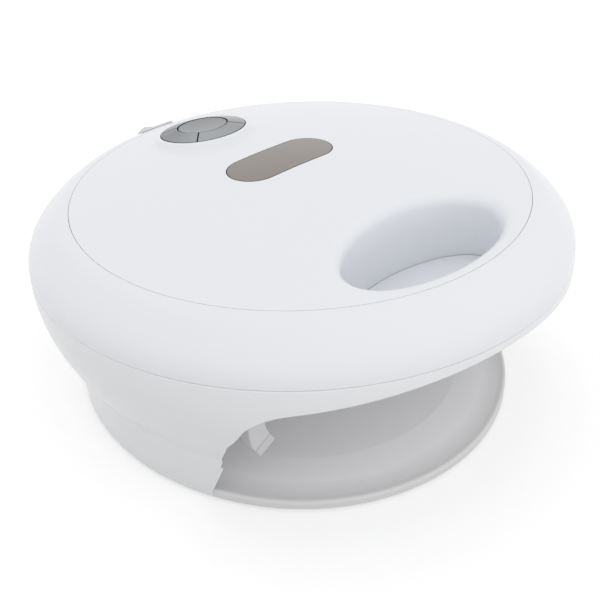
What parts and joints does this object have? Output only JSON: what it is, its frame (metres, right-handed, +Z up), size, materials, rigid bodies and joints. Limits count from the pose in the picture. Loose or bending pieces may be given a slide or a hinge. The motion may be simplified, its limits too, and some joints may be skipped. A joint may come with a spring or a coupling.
{
  "type": "led nail lamp",
  "caption": "Round tabletop LED nail lamp with an open hand mouth, lift-off base plate, carrying scoop in the crown, smoked display window and a silver button dial.",
  "frame": {"origin": "centre of the footprint on the surface it stands on", "axes": "+Z up, -Y out of the hand mouth, +X to the right as seen from the front"},
  "size_m": [0.24, 0.239, 0.1068],
  "materials": {
    "casing_white": "glossy white moulded ABS",
    "smoked_lens": "smoked display lens",
    "brushed_silver": "brushed silver button caps",
    "tray_white": "satin white tray",
    "foot_rubber": "soft dark rubber",
    "magnet_nickel": "nickel plated magnet",
    "liner_white": "satin reflecting liner",
    "lens_clear": "clear lens",
    "led_epoxy": "violet tinted LED lens",
    "led_board_white": "white solder mask on aluminium board",
    "board_green": "green solder mask",
    "sink_aluminium": "bare extruded aluminium",
    "standoff_brass": "turned brass",
    "screw_steel": "zinc plated steel",
    "display_black": "black digit block",
    "switch_black": "black switch body",
    "guide_grey": "grey moulded guide",
    "inlet_black": "black inlet body",
    "nut_steel": "nickel plated nut",
    "rocker_white": "white rocker and its frame",
    "ribbon_grey": "flat flexible cable",
    "lead_black": "sleeved wire",
    "part_black": "electronic parts"
  },
  "bodies": {
    "base": {"base_plate": "tray_white", "rubber_feet": "foot_rubber", "plate_magnets": "magnet_nickel"},
    "head": {"board_parts": "part_black", "board_screws": "screw_steel", "board_standoffs": "standoff_brass", "body_magnets": "magnet_nickel", "button_board": "board_green", "button_guide": "guide_grey", "button_ribbon": "ribbon_grey", "button_screws": "screw_steel", "casing_screws": "screw_steel", "chamber_liner": "liner_white", "control_board": "board_green", "crown_cover": "casing_white", "crown_screws": "screw_steel", "dc_inlet": "inlet_black", "display_board": "board_green", "display_module": "display_black", "display_ribbon": "ribbon_grey", "display_screws": "screw_steel", "display_window": "smoked_lens", "finger_led_board": "led_board_white", "finger_leds": "led_epoxy", "heat_sink": "sink_aluminium", "inlet_leads": "lead_black", "inlet_nut": "nut_steel", "led_leads": "lead_black", "left_thumb_board": "led_board_white", "left_thumb_leds": "led_epoxy", "left_thumb_lens": "lens_clear", "left_thumb_pod": "liner_white", "lower_shell": "casing_white", "pod_screws": "screw_steel", "right_thumb_board": "led_board_white", "right_thumb_leds": "led_epoxy", "right_thumb_lens": "lens_clear", "right_thumb_pod": "liner_white", "rim_cover": "casing_white", "scoop_floor": "casing_white", "scoop_screws": "screw_steel", "switch_housing": "rocker_white", "tact_switches": "switch_black"},
    "front_button": {"front_button": "brushed_silver"},
    "right_button": {"right_button": "brushed_silver"},
    "rear_button": {"rear_button": "brushed_silver"},
    "left_button": {"left_button": "brushed_silver"},
    "centre_button": {"centre_button": "brushed_silver"},
    "power_rocker": {"power_rocker": "rocker_white"}
  },
  "joints": [
    {"name": "head_lift", "type": "slide", "parent": "base", "child": "head", "axis": [0, 0, 1], "range_m": [0, 0.13]},
    {"name": "front_button_press", "type": "slide", "parent": "head", "child": "front_button", "axis": [0, -0.2571, -0.9664], "range_m": [0, 0.0006], "stiffness_N_per_m": 2500, "springref_m": -0.0002},
    {"name": "right_button_press", "type": "slide", "parent": "head", "child": "right_button", "axis": [0, -0.2571, -0.9664], "range_m": [0, 0.0006], "stiffness_N_per_m": 2500, "springref_m": -0.0002},
    {"name": "rear_button_press", "type": "slide", "parent": "head", "child": "rear_button", "axis": [0, -0.2571, -0.9664], "range_m": [0, 0.0006], "stiffness_N_per_m": 2500, "springref_m": -0.0002},
    {"name": "left_button_press", "type": "slide", "parent": "head", "child": "left_button", "axis": [0, -0.2571, -0.9664], "range_m": [0, 0.0006], "stiffness_N_per_m": 2500, "springref_m": -0.0002},
    {"name": "centre_button_press", "type": "slide", "parent": "head", "child": "centre_button", "axis": [0, -0.2571, -0.9664], "range_m": [0, 0.0006], "stiffness_N_per_m": 2500, "springref_m": -0.0002},
    {"name": "power_rocker_tip", "type": "hinge", "parent": "head", "child": "power_rocker", "pos_m": [0, 0.10976, 0.07674], "axis": [0, 0.7385, -0.6743], "range_deg": [-16, 0]}
  ]
}
